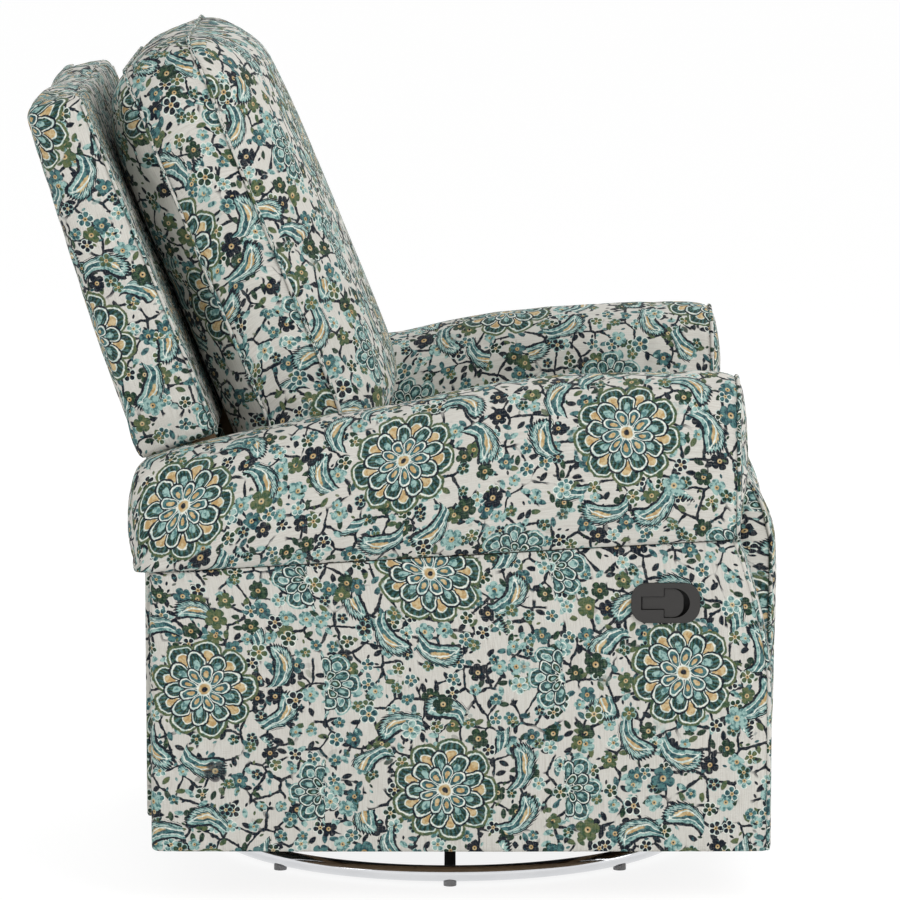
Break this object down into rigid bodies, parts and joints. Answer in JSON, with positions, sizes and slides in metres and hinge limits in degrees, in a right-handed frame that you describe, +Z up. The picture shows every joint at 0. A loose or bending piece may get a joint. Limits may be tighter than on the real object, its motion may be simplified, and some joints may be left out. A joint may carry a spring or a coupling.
{
  "type": "swivel glider recliner",
  "caption": "Upholstered recliner that swivels on a chromed ring base, glides on swing links, and opens its back and leg rest by a side release handle.",
  "frame": {"origin": "floor, midway along the depth and on the plane of symmetry", "axes": "+Z up, +X towards the left side of a sitter, -Y is where the chair faces"},
  "size_m": [0.8246, 0.9131, 1.042],
  "materials": {
    "upholstery": "matte",
    "webbing": "matte",
    "timber": "matte",
    "chrome": "polished",
    "black_steel": "satin",
    "zinc": "satin",
    "grey_plastic": "matte",
    "handle_plastic": "satin",
    "cable_jacket": "satin"
  },
  "bodies": {
    "base": {"base_ring": "chrome", "foot_pads": "grey_plastic", "base_spider": "black_steel", "bearing_lower_plate": "zinc", "bearing_race": "grey_plastic", "base_bolts": "zinc"},
    "platform": {"bearing_upper_plate": "zinc", "glider_platform": "black_steel", "glide_stand_left": "black_steel", "glide_stand_right": "black_steel", "platform_bolts": "zinc", "upper_link_pins": "zinc"},
    "swing_front_left": {"swing_link_front_left": "black_steel"},
    "swing_front_right": {"swing_link_front_right": "black_steel"},
    "swing_rear_left": {"swing_link_rear_left": "black_steel"},
    "swing_rear_right": {"swing_link_rear_right": "black_steel"},
    "seat_box": {"glide_rail_left": "black_steel", "glide_rail_right": "black_steel", "lower_link_pins": "zinc", "arm_frame_left": "timber", "arm_frame_right": "timber", "arm_cover_left": "upholstery", "arm_cover_right": "upholstery", "arm_pad_left": "upholstery", "arm_pad_right": "upholstery", "front_rail": "timber", "rear_rail": "timber", "seat_side_rails": "timber", "lower_rails": "timber", "seat_webbing": "webbing", "seat_cushion": "upholstery", "legrest_plate_left": "black_steel", "legrest_plate_right": "black_steel", "legrest_plate_pins": "zinc", "handle_cup": "handle_plastic", "handle_spring": "zinc", "release_cable": "cable_jacket", "latch_housing": "handle_plastic", "frame_bolts": "zinc", "back_hinge_pins": "zinc"},
    "back": {"back_frame": "timber", "back_hinge_left": "black_steel", "back_hinge_right": "black_steel", "back_shell": "upholstery", "lower_back_panel": "upholstery", "back_cushion": "upholstery"},
    "cranks": {"torque_tube": "black_steel", "crank_link_left": "black_steel", "crank_link_right": "black_steel"},
    "lift_left": {"lift_link_left": "black_steel"},
    "guide_left": {"guide_link_left": "black_steel"},
    "tilt_left": {"tilt_link_left": "black_steel"},
    "lift_right": {"lift_link_right": "black_steel"},
    "guide_right": {"guide_link_right": "black_steel"},
    "tilt_right": {"tilt_link_right": "black_steel"},
    "footrest": {"footrest_bracket_left": "black_steel", "footrest_bracket_right": "black_steel", "footrest_board": "timber", "footrest_pad": "upholstery"},
    "paddle": {"release_paddle": "handle_plastic"}
  },
  "joints": [
    {"name": "swivel", "type": "hinge", "parent": "base", "child": "platform", "pos_m": [0, -0.06, 0.047], "axis": [0, 0, 1], "continuous": true},
    {"name": "swing_front_left", "type": "hinge", "parent": "platform", "child": "swing_front_left", "pos_m": [0.203, -0.16, 0.205], "axis": [-1, 0, 0], "range_deg": [-22, 22]},
    {"name": "swing_front_right", "type": "hinge", "parent": "platform", "child": "swing_front_right", "pos_m": [-0.203, -0.16, 0.205], "axis": [-1, 0, 0], "range_deg": [-22, 22]},
    {"name": "swing_rear_left", "type": "hinge", "parent": "platform", "child": "swing_rear_left", "pos_m": [0.203, 0.04, 0.205], "axis": [-1, 0, 0], "range_deg": [-22, 22]},
    {"name": "swing_rear_right", "type": "hinge", "parent": "platform", "child": "swing_rear_right", "pos_m": [-0.203, 0.04, 0.205], "axis": [-1, 0, 0], "range_deg": [-22, 22]},
    {"name": "glide", "type": "hinge", "parent": "swing_front_left", "child": "seat_box", "pos_m": [0.203, -0.16, 0.085], "axis": [1, 0, 0], "range_deg": [-22, 22]},
    {"name": "recline", "type": "hinge", "parent": "seat_box", "child": "back", "pos_m": [0, 0.225, 0.33], "axis": [-1, 0, 0], "range_deg": [0, 32]},
    {"name": "legrest", "type": "hinge", "parent": "seat_box", "child": "cranks", "pos_m": [0, -0.292, 0.294], "axis": [-1, 0, 0], "range_deg": [0, 60]},
    {"name": "lift_left", "type": "hinge", "parent": "cranks", "child": "lift_left", "pos_m": [0.238, -0.30065, 0.1703], "axis": [-1, 0, 0], "range_deg": [-101, 0]},
    {"name": "guide_left", "type": "hinge", "parent": "seat_box", "child": "guide_left", "pos_m": [0.2435, -0.338, 0.217], "axis": [-1, 0, 0], "range_deg": [0, 84.82]},
    {"name": "tilt_left", "type": "hinge", "parent": "cranks", "child": "tilt_left", "pos_m": [0.227, -0.29502, 0.12179], "axis": [-1, 0, 0], "range_deg": [-98.41, 0]},
    {"name": "lift_right", "type": "hinge", "parent": "cranks", "child": "lift_right", "pos_m": [-0.238, -0.30065, 0.1703], "axis": [-1, 0, 0], "range_deg": [-101, 0]},
    {"name": "guide_right", "type": "hinge", "parent": "seat_box", "child": "guide_right", "pos_m": [-0.2435, -0.338, 0.217], "axis": [-1, 0, 0], "range_deg": [0, 84.82]},
    {"name": "tilt_right", "type": "hinge", "parent": "cranks", "child": "tilt_right", "pos_m": [-0.227, -0.29502, 0.12179], "axis": [-1, 0, 0], "range_deg": [-98.41, 0]},
    {"name": "footrest", "type": "hinge", "parent": "lift_left", "child": "footrest", "pos_m": [0.238, -0.35061, 0.37839], "axis": [-1, 0, 0], "range_deg": [0, 129]},
    {"name": "paddle", "type": "hinge", "parent": "seat_box", "child": "paddle", "pos_m": [-0.398, -0.292, 0.373], "axis": [0, 0, -1], "range_deg": [0, 28], "stiffness_Nm_per_rad": 0.12, "springref_deg": -17.19}
  ],
  "couplings": [
    {"joint": "swing_front_left", "follows": "glide", "ratio": 1},
    {"joint": "swing_front_right", "follows": "glide", "ratio": 1},
    {"joint": "swing_rear_left", "follows": "glide", "ratio": 1},
    {"joint": "swing_rear_right", "follows": "glide", "ratio": 1},
    {"joint": "lift_left", "follows": "legrest", "ratio": -1.6833},
    {"joint": "guide_left", "follows": "legrest", "ratio": 1.4137},
    {"joint": "tilt_left", "follows": "legrest", "ratio": -1.6402},
    {"joint": "lift_right", "follows": "legrest", "ratio": -1.6833},
    {"joint": "guide_right", "follows": "legrest", "ratio": 1.4137},
    {"joint": "tilt_right", "follows": "legrest", "ratio": -1.6402},
    {"joint": "footrest", "follows": "legrest", "ratio": 2.15}
  ]
}
